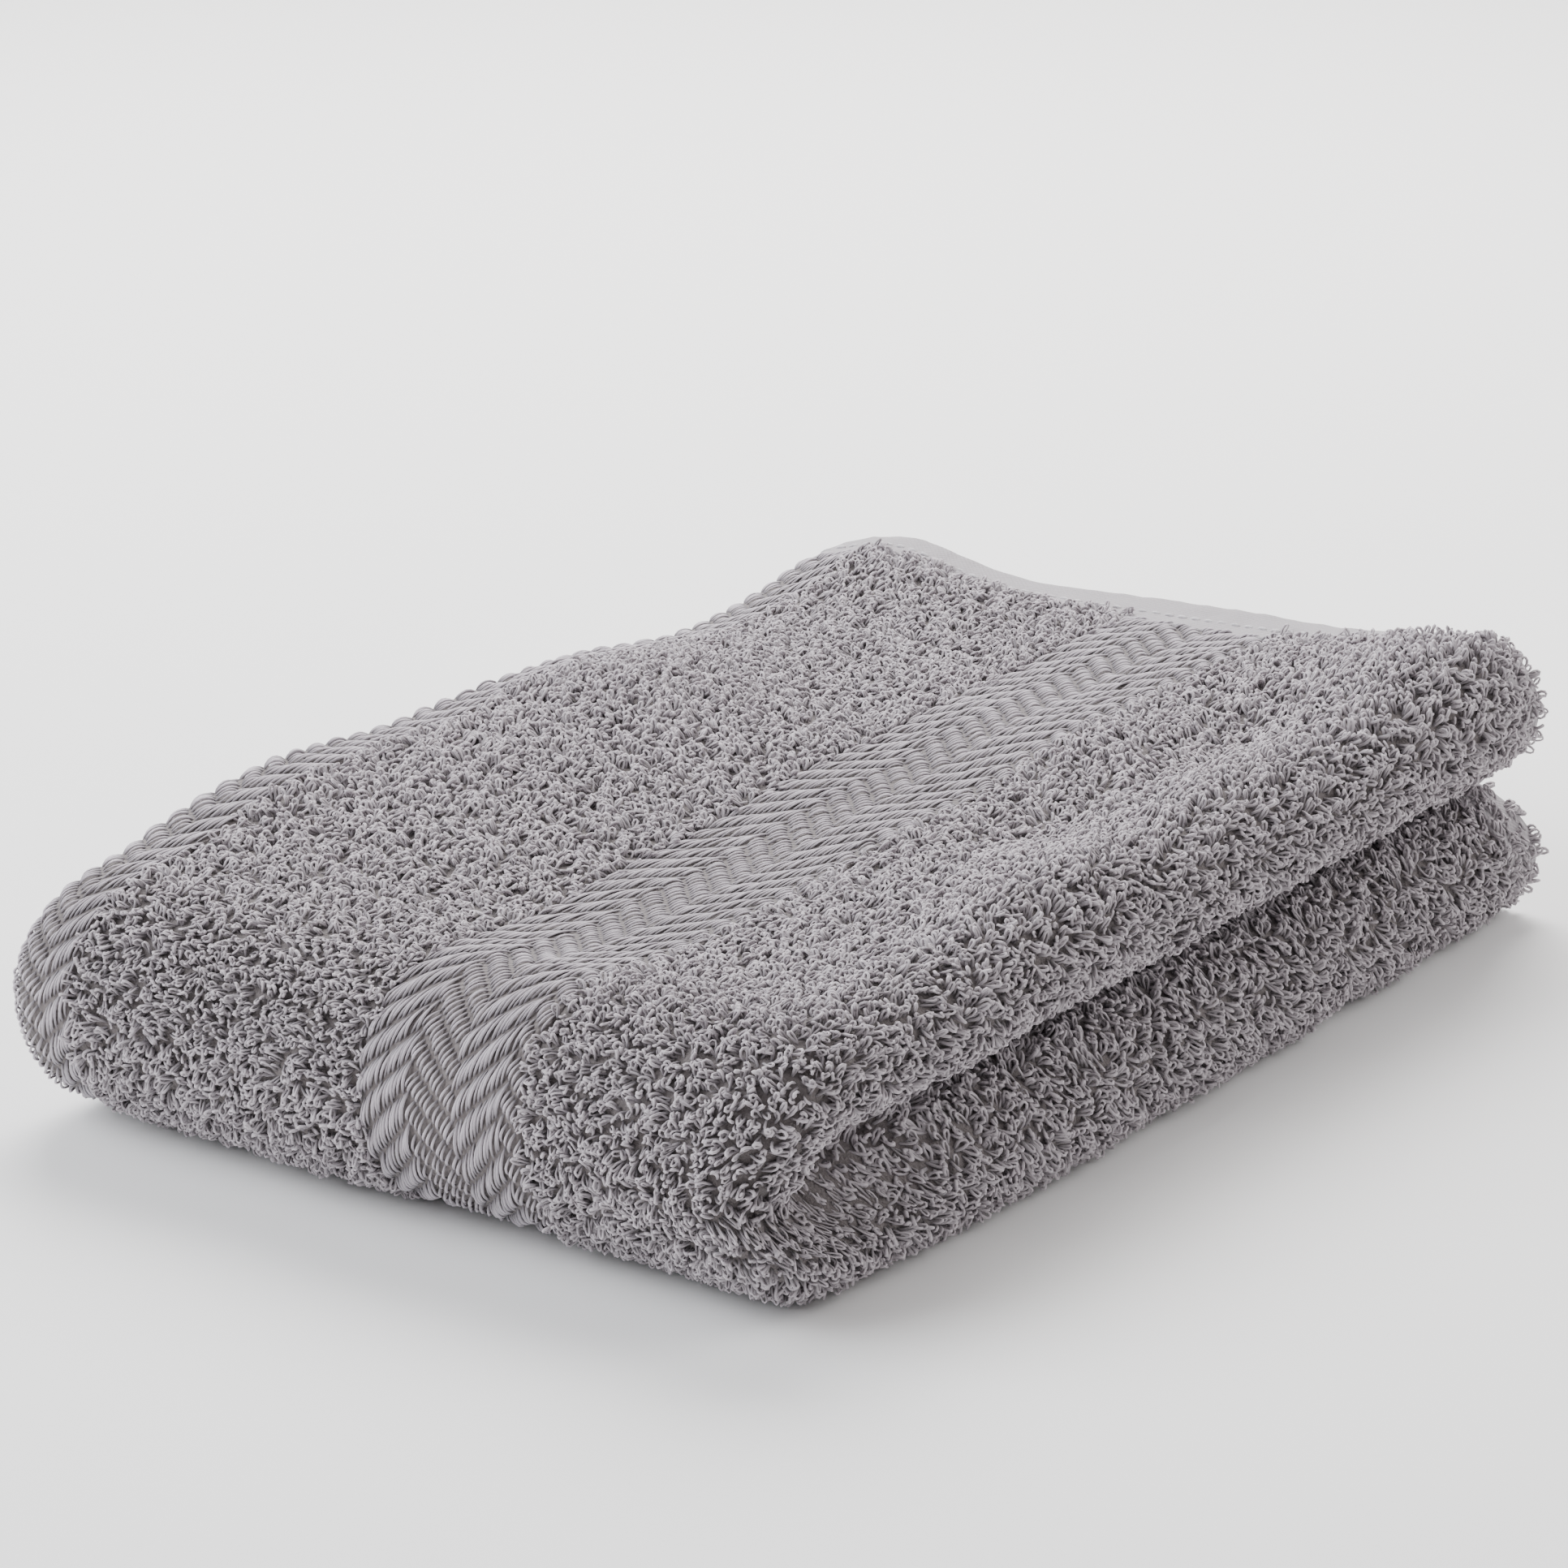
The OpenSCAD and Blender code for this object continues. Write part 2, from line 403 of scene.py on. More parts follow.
# Slow waves of the settled cloth: how high (mm), how far apart (mm), and seed
TOP_WAVES = (1.3, 80, SEED + 1)
LIP_WAVES = (1.2, 55, SEED + 2)
ROLL_WAVES = (1.6, 75, SEED + 3)
BACK_WAVES = (1.6, 60, SEED + 4)
LEFT_WAVES = (1.5, 70, SEED + 5)
SAG_WAVES = (0.9, 60, SEED + 6)

# The open end of the gap between the halves, at the right front: where it is widest behind the
# roll's axis and how far it reaches (mm), then how the upper lip droops over it
OPEN_BEHIND, OPEN_REACH = 3, 33
DROOP_SLOPE, DROOP, DROOP_REACH = 0.9, 3.0, 13
# How deep the gap is pushed in: everywhere, at its open end, and below it, where it hooks (mm)
GAP_DEPTH, OPEN_DEPTH, HOOK_DEPTH = 5.0, 3.0, 14.0
GAP_REACH, GAP_FLARE = 9, 4
HOOK_TOP, HOOK_REACH = 2, 9
# How far the waves of the back edge and of the left bend reach into the towel (mm)
BACK_INTO, BACK_REACH = 40, 54
LEFT_INTO, LEFT_REACH = 8, 18
# The shelf: the least height of the cloth, how fast it grows, and the share of the sag kept
SHELF_GAP, SHELF_SLOPE, SAG_SHARE = 0.25, 0.02, 0.8


def slow(form, x, y):
    """One kind of slow waves over a plane, in millimetres."""
    size, apart, seed = form
    return size * waves(x, y, apart, seed)


def settle(point):
    """Moves points of the plainly folded towel to where the soft towel comes to rest."""
    x, y, z = point[..., 0], point[..., 1], point[..., 2]
    from_gap = z - HALF
    rise = LEFT_SINK * np.clip((LIP_X - x) / (LIP_X - LEFT), 0, 1)
    for size, cx, cy, rx, ry in TOP_FORMS:
        rise = rise + size * np.exp(-(((x - cx) / rx) ** 2) - ((y - cy) / ry) ** 2)
    rise = rise + slow(TOP_WAVES, x, y)
    new_z = z + rise * (np.maximum(from_gap, 0) / HALF)
    open_end = bell(y - ROLL_Y - OPEN_BEHIND, OPEN_REACH)
    at_rim = ease((x - LIP_X) / (RIGHT - LIP_X))
    droop = (DROOP_SLOPE * np.minimum(from_gap, 0) - DROOP) * bell(from_gap, DROOP_REACH)
    new_z = new_z + droop * open_end * at_rim

    side = np.clip(from_gap / (LIP_D + 2), -1, 1)
    push = np.zeros_like(x)
    for size, cy, reach, which in LIP_FORMS:
        kept = 1.0 if which == 0 else np.clip(which * side, 0, 1)
        push = push + size * kept * bell(y - cy, reach)
    push = push + slow(LIP_WAVES, y, z * 0.5) * (0.5 + 0.5 * np.abs(side))
    near_gap = bell(from_gap, GAP_REACH + GAP_FLARE * open_end)
    below = ease((HOOK_TOP - from_gap) / HOOK_REACH)
    push = push - near_gap * (GAP_DEPTH + open_end * (OPEN_DEPTH + HOOK_DEPTH * below))
    at_lip = ease((x - FIELD_X) / (RIGHT - FIELD_X))
    at_left = ease((BEND_X + LEFT_INTO - x) / LEFT_REACH)
    new_x = x + push * at_lip + slow(LEFT_WAVES, y, z * 0.5) * at_left

    at_roll = ease((ROLL_Y - y) / HALF)
    at_back = ease((y - SEAM_Y + BACK_INTO) / BACK_REACH)
    new_y = y + slow(ROLL_WAVES, x, z * 0.6) * at_roll
    new_y = new_y + slow(BACK_WAVES, x, z * 1.4) * at_back

    sag = slow(SAG_WAVES, x, y) * np.clip(1 - z / HALF, 0, 1)
    new_z = np.maximum(new_z, SHELF_GAP + SHELF_SLOPE * np.maximum(z, 0))
    return np.stack([new_x, new_y, new_z + np.maximum(sag, 0) * SAG_SHARE], -1)


# Meshes


def make_piece(name, points, faces, smooth=True, uv=None, tip=None):
    """A mesh object from settled points in millimetres and lists of equal-sided faces. tip says how
    near each point is to the open end of its yarn, from 0 to 1; the materials paint shade darker
    away from it."""
    mesh = bpy.data.meshes.new(name)
    faces = [np.asarray(f, np.int32) for f in faces if len(f)]
    corners = np.concatenate([f.ravel() for f in faces])
    sizes = np.concatenate([np.full(len(f), f.shape[1], np.int32) for f in faces])
    starts = np.concatenate([[0], np.cumsum(sizes)[:-1]]).astype(np.int32)
    mesh.vertices.add(len(points))
    mesh.vertices.foreach_set("co", (points * MM).astype(np.float32).ravel())
    mesh.loops.add(len(corners))
    mesh.loops.foreach_set("vertex_index", corners)
    mesh.polygons.add(len(sizes))
    mesh.polygons.foreach_set("loop_start", starts)
    mesh.polygons.foreach_set("use_smooth", np.full(len(sizes), smooth))
    if uv is not None:
        layer = mesh.uv_layers.new(name="OFBake")
        layer.uv.foreach_set("vector", uv.astype(np.float32).ravel())
    if tip is not None:
        attribute = mesh.attributes.new("tip", "FLOAT", "POINT")
        attribute.data.foreach_set("value", tip.astype(np.float32))
    mesh.update(calc_edges=True)
    piece = bpy.data.objects.new(name, mesh)
    bpy.context.scene.collection.objects.link(piece)
    return piece


def slab(along, round_, above, below):
    """A closed sheet over a grid of the cloth, above and below its middle line by these amounts."""
    rows, columns = len(along), len(round_)
    a, r = np.meshgrid(along, round_, indexing="ij")
    above, below = np.broadcast_to(above, a.shape), np.broadcast_to(below, a.shape)
    point, out, _, _ = sweep(a, r)
    top, bottom = point + out * above[..., None], point - out * below[..., None]
    points = np.concatenate([top.reshape(-1, 3), bottom.reshape(-1, 3)])
    index = np.arange(rows * columns).reshape(rows, columns)
    low = index + rows * columns

    def quads(p, q, s, t):
        return np.stack([p.ravel(), q.ravel(), s.ravel(), t.ravel()], -1)

    faces = [
        quads(index[:-1, :-1], index[:-1, 1:], index[1:, 1:], index[1:, :-1]),
        quads(low[:-1, :-1], low[1:, :-1], low[1:, 1:], low[:-1, 1:]),
        quads(index[:-1, 0], index[1:, 0], low[1:, 0], low[:-1, 0]),
        quads(index[:-1, -1], low[:-1, -1], low[1:, -1], index[1:, -1]),
        quads(index[0, :-1], low[0, :-1], low[0, 1:], index[0, 1:]),
        quads(index[-1, :-1], index[-1, 1:], low[-1, 1:], low[-1, :-1]),
    ]
    return points, np.concatenate(faces)


def join_parts(parts):
    """Several (points, faces) as one."""
    points, faces, count = [], [], 0
    for p, f in parts:
        points.append(p)
        faces.append(f + count)
        count += len(p)
    return np.concatenate(points), np.concatenate(faces)


def tubes(centre, side, radius, sides):
    """Closed tubes around many centre lines at once. centre is (tubes, points, 3), side a vector
    across each tube, and radius (tubes or 1, points). Returns points and a list of faces."""
    count, steps = centre.shape[:2]
    tangent = np.gradient(centre, axis=1)
    tangent /= np.maximum(np.linalg.norm(tangent, axis=-1, keepdims=True), 1e-9)
    side = np.broadcast_to(side[:, None, :], centre.shape)
    b = side - (side * tangent).sum(-1, keepdims=True) * tangent
    b = b / np.maximum(np.linalg.norm(b, axis=-1, keepdims=True), 1e-6)
    m = np.cross(tangent, b)
    angle = np.arange(sides) * math.tau / sides
    ring = (
        np.cos(angle)[None, None, :, None] * b[:, :, None, :]
        + np.sin(angle)[None, None, :, None] * m[:, :, None, :]
    )
    points = centre[:, :, None, :] + radius[..., None, None] * ring
    index = np.arange(count * steps * sides).reshape(count, steps, sides)
    nxt = np.roll(index, -1, axis=2)
    quads = np.stack([index[:, :-1], nxt[:, :-1], nxt[:, 1:], index[:, 1:]], -1).reshape(-1, 4)
    caps = np.concatenate([index[:, 0, ::-1], index[:, -1]])
    return points.reshape(-1, 3), [quads, caps]


def tube_uv(count, steps, sides):
    """A tile of the unit square for each tube, with its length up and its girth across."""
    across = math.ceil(math.sqrt(count))
    tile = np.arange(count)
    corner = np.stack([tile % across, tile // across], -1)[:, None, None, None, :]
    k, s = np.meshgrid(np.arange(steps - 1), np.arange(sides), indexing="ij")
    corners = ((0, 0), (1, 0), (1, 1), (0, 1))
    quad = np.stack([np.stack([s + i, k + j], -1) for i, j in corners], -2)
    quad = quad / np.array([sides, steps - 1])
    body = (corner + 0.04 + 0.92 * quad[None]) / across
    cap = np.stack([np.cos(np.arange(sides)), np.sin(np.arange(sides))], -1) * 0.01
    ends = [
        (corner[:, 0, 0] + np.array([0.5, height]) + cap[None]) / across for height in (0.06, 0.94)
    ]
    return np.concatenate([body.reshape(-1, 2), ends[0].reshape(-1, 2), ends[1].reshape(-1, 2)])


# Where a loop's yarn has its points on the way to its tip, as turned angles
FINE_TURN = (0.0, 1.1, 2.0, 2.62)
PLAIN_TURN = (0.0, 1.3, 2.35)
PLAIN_BULK = 1.22


ROOT_SINK = 0.4  # how far a loop's foot goes into the ground cloth
CLUMP_WAVES = ((1.0, 12, 0), (0.5, 6.5, 1))  # share, distance and step of the seed
# Random sizes: spread about 1, least and most
LENGTH_SPREAD, WIDTH_SPREAD = (0.13, 0.6, 1.25), (0.22, 0.5, 1.7)
YARN_SPREAD, FLOAT_SPREAD = (0.12, 0.7, 1.4), (0.12, 0.7, 1.3)
NECK = 0.874  # brings the widest place of a loop to its set width
TWIST = 0.42


def about_one(rng, size, spread, low, high):
    """Random factors about 1, kept between low and high."""
    return (1 + spread * rng.normal(size=size)).clip(low, high)


def clumps(along, round_, seed):
    """How neighbouring loops lean together over the cloth."""
    first, second = (
        size * waves(along, round_, apart, seed + step) for size, apart, step in CLUMP_WAVES
    )
    return first + second


def terry_loops(pile, rng, along, round_, press, fine):
    """The loops of pile that stand at these places of the cloth. press is the share of its height
    that each keeps. Returns settled points, faces, a UV layer and how near each point is to a
    tip."""
    count = len(along)
    root, out, way, turn = sweep(along, round_, lift=GROUND_LIFT - ROOT_SINK)
    half_turn = FINE_TURN if fine else PLAIN_TURN
    t = np.array([*half_turn, math.pi, *(math.tau - a for a in reversed(half_turn))])[None, :]
    sides = 4 if fine else 3
    bulk = 1.0 if fine else PLAIN_BULK
    height = bulk * pile.loop_length * about_one(rng, count, *LENGTH_SPREAD)
    width = bulk * pile.loop_width * about_one(rng, count, *WIDTH_SPREAD)
    wild = rng.normal(size=(2, count)) * (1 - pile.clumping)
    lean_a = wild[0] + pile.clumping * clumps(along, round_, SEED + 11)
    lean_r = wild[1] + pile.clumping * clumps(along, round_, SEED + 13)
    amount = np.hypot(lean_a, lean_r) + 1e-6
    limit = (pile.lean * (1 + 0.22 * rng.normal(size=count))).clip(0.25, 0.93)
    lean_a, lean_r = lean_a * limit / amount, lean_r * limit / amount
    spin = np.arctan2(lean_a, -lean_r) + rng.normal(0, 0.45, count)
    u = np.cos(spin)[:, None] * way + np.sin(spin)[:, None] * turn
    w = -np.sin(spin)[:, None] * way + np.cos(spin)[:, None] * turn
    upright = np.sqrt(1 - limit**2) * press
    fallen = np.sqrt(np.maximum(1 - upright**2, 0)) / np.maximum(limit, 0.05)
    fallen = np.minimum(fallen, 3.0)
    h = height[:, None] * (1 - np.cos(t)) / 2
    bend = (0.35 + 0.65 * h / height[:, None]) * h
    across = width[:, None] * NECK * np.sin(t) * np.sin(t / 2) ** 3
    twist = TWIST * np.cos(t / 2) * (1 + 0.5 * rng.normal(size=count))[:, None]
    lean = (lean_a * fallen)[:, None] * way + (lean_r * fallen)[:, None] * turn
    centre = (
        root[:, None, :]
        + across[..., None] * u[:, None, :]
        + twist[..., None] * w[:, None, :]
        + (h * upright[:, None])[..., None] * out[:, None, :]
        + bend[..., None] * lean[:, None, :]
    )
    thick = bulk * pile.yarn_radius * about_one(rng, count, *YARN_SPREAD)
    profile = 0.85 + 0.2 * np.sin(t / 2)
    points, faces = tubes(centre, w, thick[:, None] * profile, sides)
    # How near each point is to the loop's tip; painted shade makes the loop darker away from it,
    # towards its roots
    tip = np.broadcast_to(((1 - np.cos(t)) / 2)[..., None], (count, t.shape[1], sides)).ravel()
    return settle(points), faces, tube_uv(count, t.shape[1], sides), tip


# The rows of loops: distance between them and in them, and jitter, as shares of the spacing
ROW_SHARE, STEP_SHARE, JITTER = 0.86, 1.16, 0.38


def scatter(rng, along_range, round_range, spacing, by_angle=False):
    """Jittered rows of loop places between two stations of the path and two places round."""
    step_a, step_r = spacing * ROW_SHARE, spacing * STEP_SHARE
    width = round_range[1] - round_range[0]
    rows = max(int((along_range[1] - along_range[0]) / step_a), 1)
    row_at = along_range[0] + (np.arange(rows) + 0.5) * (along_range[1] - along_range[0]) / rows
    places = []
    for i, a in enumerate(row_at):
        stretch = PATH.at(np.array([a]))[0][0, 0] / CLOTH_R if by_angle else 1.0
        count = max(int(width * max(stretch, 0.02) / step_r), 1)
        r = round_range[0] + (np.arange(count) + 0.25 + 0.5 * (i % 2)) * width / count
        places.append(np.stack([np.full(count, a), r], -1))
    places = np.concatenate(places)
    places = places + rng.uniform(-JITTER, JITTER, places.shape) * (step_a, step_r)
    places[:, 0] = places[:, 0].clip(*along_range)
    places[:, 1] = places[:, 1].clip(*round_range)
    return places


# Materials


def new_group(name, inputs, outputs):
    """An empty shader group with these float inputs and these outputs."""
    group = bpy.data.node_groups.new(name, "ShaderNodeTree")
    for label, value in inputs.items():
        kind = "NodeSocketColor" if isinstance(value, tuple) else "NodeSocketFloat"
        socket = group.interface.new_socket(label, in_out="INPUT", socket_type=kind)
        socket.default_value = (*value, 1.0) if isinstance(value, tuple) else value
    for label, kind in outputs.items():
        group.interface.new_socket(label, in_out="OUTPUT", socket_type=kind)
    return group, group.nodes.new("NodeGroupInput"), group.nodes.new("NodeGroupOutput")


def maths(tree, operation, a, b=None, clamp=False):
    """A Math node on sockets or numbers; returns its output."""
    node = tree.nodes.new("ShaderNodeMath")
    node.operation = operation
    node.use_clamp = clamp
    for i, value in enumerate((a, b)):
        if value is None:
            continue
        if isinstance(value, (int, float)):
            node.inputs[i].default_value = value
        else:
            tree.links.new(value, node.inputs[i])
    return node.outputs[0]


def noise(tree, scale, detail=2.0, stretch=None):
    """A noise texture on the piece's own coordinates, stretched if asked."""
    nodes, links = tree.nodes, tree.links
    place = nodes.new("ShaderNodeTexCoord")
    node = nodes.new("ShaderNodeTexNoise")
    node.inputs["Scale"].default_value = scale
    node.inputs["Detail"].default_value = detail
    source = place.outputs["Object"]
    if stretch:
        mapping = nodes.new("ShaderNodeMapping")
        mapping.inputs["Scale"].default_value = stretch
        links.new(source, mapping.inputs["Vector"])
        source = mapping.outputs[0]
    links.new(source, node.inputs["Vector"])
    return node


def dyed_yarn_and_root_shade_group():
    """Colour of dyed cotton: each yarn its own shade, with slow patches and fine flecks, and painted
    shade that darkens each yarn away from its tip, at the roots of the loops and the ends of the
    floats.
    """
    tree, start, end = new_group(
        "Dyed yarn",
        {
            "Colour": (0.5, 0.5, 0.5),
            "Yarn variation": 0.2,
            "Patch variation": 0.1,
            "Fleck variation": 0.1,
            "Root shade": 0.0,
        },
        {"Colour": "NodeSocketColor", "Mask": "NodeSocketFloat"},
    )
    nodes, links = tree.nodes, tree.links
    geometry = nodes.new("ShaderNodeNewGeometry")
    patch = noise(tree, 22.0)
    fleck = noise(tree, 1600.0, 1.0)
    total = None
    for source, amount in (
        (geometry.outputs["Random Per Island"], "Yarn variation"),
        (patch.outputs["Fac"], "Patch variation"),
        (fleck.outputs["Fac"], "Fleck variation"),
    ):
        centred = maths(tree, "SUBTRACT", source, 0.5)
        part = maths(tree, "MULTIPLY", centred, start.outputs[amount])
        total = part if total is None else maths(tree, "ADD", total, part)
    value = maths(tree, "ADD", total, 1.0)
    # Painted shade: darker away from the tip, standing for the shade at the roots of the loops and
    # in the gaps between the ribs of floats
    tip = nodes.new("ShaderNodeAttribute")
    tip.attribute_name = "tip"
    depth = maths(tree, "SUBTRACT", 1.0, tip.outputs["Fac"])
    shade = maths(tree, "MULTIPLY", depth, start.outputs["Root shade"])
    value = maths(tree, "MULTIPLY", value, maths(tree, "SUBTRACT", 1.0, shade))
    tint = nodes.new("ShaderNodeHueSaturation")
    links.new(start.outputs["Colour"], tint.inputs["Color"])
    links.new(value, tint.inputs["Value"])
    links.new(tint.outputs[0], end.inputs["Colour"])
    links.new(fleck.outputs["Fac"], end.inputs["Mask"])
    return tree


def fibre_group():
    """Height of spun cotton: fine fibres with a coarser twist."""
    tree, start, end = new_group(
        "Spun fibre", {"Fineness": 1500.0, "Twist": 0.5}, {"Height": "NodeSocketFloat"}
    )
    links = tree.links
    fine = noise(tree, 1500.0, 3.0)
    links.new(start.outputs["Fineness"], fine.inputs["Scale"])
    twist = noise(tree, 650.0, 1.0, (1.0, 1.0, 2.5))
    scaled = maths(tree, "MULTIPLY", twist.outputs["Fac"], start.outputs["Twist"])
    links.new(maths(tree, "ADD", fine.outputs["Fac"], scaled), end.inputs["Height"])
    return tree


def plain_weave_group():
    """Height and shade of a fine plain weave, over and under in X and Y and up the sides."""
    tree, start, end = new_group(
        "Plain weave",
        {"Threads per metre": 1100.0},
        {"Height": "NodeSocketFloat", "Shade": "NodeSocketFloat"},
    )
    nodes, links = tree.nodes, tree.links
    place = nodes.new("ShaderNodeTexCoord")
    parts = nodes.new("ShaderNodeSeparateXYZ")
    links.new(place.outputs["Object"], parts.inputs[0])
    sines = []
    for axis in range(3):
        turned = maths(tree, "MULTIPLY", parts.outputs[axis], start.outputs["Threads per metre"])
        turned = maths(tree, "MULTIPLY", turned, math.pi)
        sines.append(maths(tree, "SINE", turned))
    product = maths(tree, "MULTIPLY", sines[0], sines[1])
    height = maths(tree, "ADD", product, maths(tree, "MULTIPLY", sines[2], 0.5))
    links.new(height, end.inputs["Height"])
    shade = maths(tree, "ADD", maths(tree, "MULTIPLY", height, 0.5), 0.5, clamp=True)
    links.new(shade, end.inputs["Shade"])
    return tree


def cotton(name, colour, groups, variation, bump, distance, weave=None, root=0.0):
    """A cotton material: dyed colour, painted root shade, rough finish, sheen and fibre or weave
    relief.
    variation is how much the shade changes by yarn, by patch and by fleck. root is how much
    painted shade darkens each yarn away from its tip."""
    material = bpy.data.materials.new(name)
    material.use_nodes = True
    material.diffuse_color = (*colour, 1.0)
    tree = material.node_tree
    nodes, links = tree.nodes, tree.links
    shader = nodes["Principled BSDF"]
    shader.inputs["Sheen Weight"].default_value = 0.15
    shader.inputs["Sheen Roughness"].default_value = 0.5
    shader.inputs["Specular IOR Level"].default_value = 0.25
    dye = nodes.new("ShaderNodeGroup")
    dye.node_tree = groups["dye"]
    dye.inputs["Colour"].default_value = (*colour, 1.0)
    for kind, amount in zip(("Yarn", "Patch", "Fleck"), variation):
        dye.inputs[f"{kind} variation"].default_value = amount
    # Painted shade at the roots: each yarn darker away from its tip
    dye.inputs["Root shade"].default_value = root
    links.new(dye.outputs["Colour"], shader.inputs["Base Color"])
    rough = maths(tree, "MULTIPLY", dye.outputs["Mask"], 0.14)
    links.new(maths(tree, "ADD", rough, 0.82), shader.inputs["Roughness"])
    fibre = nodes.new("ShaderNodeGroup")
    fibre.node_tree = groups["fibre"]
    height = fibre.outputs["Height"]
    if weave:
        cloth = nodes.new("ShaderNodeGroup")
        cloth.node_tree = groups["weave"]
        cloth.inputs["Threads per metre"].default_value = weave
        height = maths(tree, "ADD", height, cloth.outputs["Height"])
    relief = nodes.new("ShaderNodeBump")
    relief.inputs["Strength"].default_value = bump
    relief.inputs["Distance"].default_value = distance
    links.new(height, relief.inputs["Height"])
    links.new(relief.outputs[0], shader.inputs["Normal"])
    return material


MATERIALS = {}
PLAIN = {}
BODY = {"upper": "upper_half", "lower": "lower_half"}


def build_materials(colours):
    """Every finish of the towel, made once."""
    if MATERIALS:
        return
    groups = {"dye": dyed_yarn_and_root_shade_group(), "fibre": fibre_group(), "weave": plain_weave_group()}
    # root is painted shade, darker away from each yarn's tip; the two ground finishes take the
    # ground colour, darkened as painted shade of the gaps
    for key, name, dye, variation, bump, distance, more in (
        ("terry", "Terry loops", "pile", (0.3, 0.14, 0.25), 0.5, 0.0003, {"root": 0.58}),
        ("ground", "Terry ground", "ground", (0.0, 0.2, 0.3), 0.8, 0.0008, {}),
        (
            "herringbone", "Herringbone floats", "weave", (0.22, 0.1, 0.2), 0.4, 0.0002,
            {"root": 0.8},
        ),
        (
            "band_ground", "Band ground weave", "ground", (0.0, 0.1, 0.2), 0.6, 0.0003,
            {"weave": 900.0},
        ),
        ("hem", "Hem cloth", "hem", (0.0, 0.1, 0.12), 0.5, 0.0002, {"weave": 1300.0}),
        ("thread", "Sewing thread", "thread", (0.15, 0.05, 0.1), 0.3, 0.0001, {}),
    ):
        shade = tuple(getattr(colours, dye))
        MATERIALS[key] = cotton(name, shade, groups, variation, bump, distance, **more)


def dress(piece, material):
    """Gives a piece its finish, with a plain one of the same colour in the mesh."""
    finish = MATERIALS[material]
    if material not in PLAIN:
        plain = bpy.data.materials.new(f"{finish.name} plain")
        plain.use_nodes = True
        shader = plain.node_tree.nodes["Principled BSDF"]
        shader.inputs["Base Color"].default_value = finish.diffuse_color
        shader.inputs["Roughness"].default_value = 0.9
        plain.diffuse_color = finish.diffuse_color
        PLAIN[material] = plain
    piece.data.materials.append(PLAIN[material])
    piece.material_slots[0].link = "OBJECT"
    piece.material_slots[0].material = finish


def hold(piece, part):
    """Rides a piece of a half, or bakes the place of a piece of the roll into its mesh."""
    if part != "roll":
        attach(piece, BODY[part])
        return
    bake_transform(piece)


def finish_piece(piece, finish, part, cloth):
    """Dresses and holds a piece that is no sheet, and lists it with the cloth that it is on."""
    dress(piece, finish)
    hold(piece, part)
    LOOSE.setdefault(cloth, []).append(piece)


def round_span(part, short=0.0):
    """Where a part begins and ends round the fold. short leaves that much off at the back, where
    the roll has nothing to leave off."""
    if part == "upper":
        return -(BACK_RUN - short), 0.0
    if part == "lower":
        return ROLL_LENGTH, ROLL_LENGTH + BACK_RUN - short
    return 0.0, ROLL_LENGTH


def steps(start, end, size):
    """Evenly spaced values from start to end, no further apart than size."""
    return np.linspace(start, end, max(int(math.ceil(abs(end - start) / size)), 2) + 1)


# Distance from the mid plane to the underside of three of the layers
OUTER_LOW, PANEL_LOW, MIDDLE_LOW = (layer_d(index) - LAYER / 2 for index in (5, 4, 2))
LEAST_SHEET = 0.01  # the shortest side that a sheet kept in DRAWN may have, in metres
CLOTH_STEP = 3.4
GROUND = {"terry": "ground", "herringbone": "band_ground"}
DRAWN = {}
LOOSE = {}

# The main cloth of the roll in three depths, each a piece of its own: least distance, most
# distance and nodes
ROLL_DEPTHS = (
    ("outer", PANEL_LOW, BEYOND, ("terry_field", "outer_lip", "lining_panel")),
    (
        "middle", MIDDLE_LOW, PANEL_LOW,
        ("middle_panel", "lining_middle", "half_fold", "lining_lip", "outer_crease"),
    ),
    ("inner", 0.0, MIDDLE_LOW, ("base_panel", "lining_base", "lining_crease")),
)
MAIN_NODES = tuple(node for depth in ROLL_DEPTHS for node in depth[3])
# The end band of the roll in three depths, each a piece of its own: least and most distance
HANG_SPLIT = HEM_HIGH + 0.56 * (OUTER_LOW - HEM_HIGH)
END_DEPTHS = (
    ("hanging", HEM_HIGH, HANG_SPLIT),
    ("bend", HANG_SPLIT, OUTER_LOW),
    ("end", OUTER_LOW, BEYOND),
)


def runs_within(low, high, start="field", end="lining_hem"):
    """Stretches of the path, between two stations, whose distance from the mid plane lies between
    low and high."""
    along = steps(AT[start], AT[end], 1.0)
    d = PATH.at(along)[0][:, 0]
    inside = (d >= low - 0.01) & (d < high - 0.01)
    edges = np.flatnonzero(np.diff(inside.astype(int))) + 1
    runs = np.split(np.arange(len(along)), edges)
    return [(along[r[0]], along[min(r[-1] + 1, len(along) - 1)]) for r in runs if inside[r[0]]]


def cloth_depths(along, slot):
    """How far the cloth reaches above and below its middle: thin under open loops and floats, and
    as thick as its pressed pile where it lies inside."""
    below = np.full_like(along, UNDERSIDE)
    if slot == "herringbone":
        return np.full_like(along, BAND_LIFT), below
    hidden = ease((along - AT["middle"]) / 12)
    return GROUND_LIFT + (PRESSED_THICK / 2 - GROUND_LIFT) * hidden, below


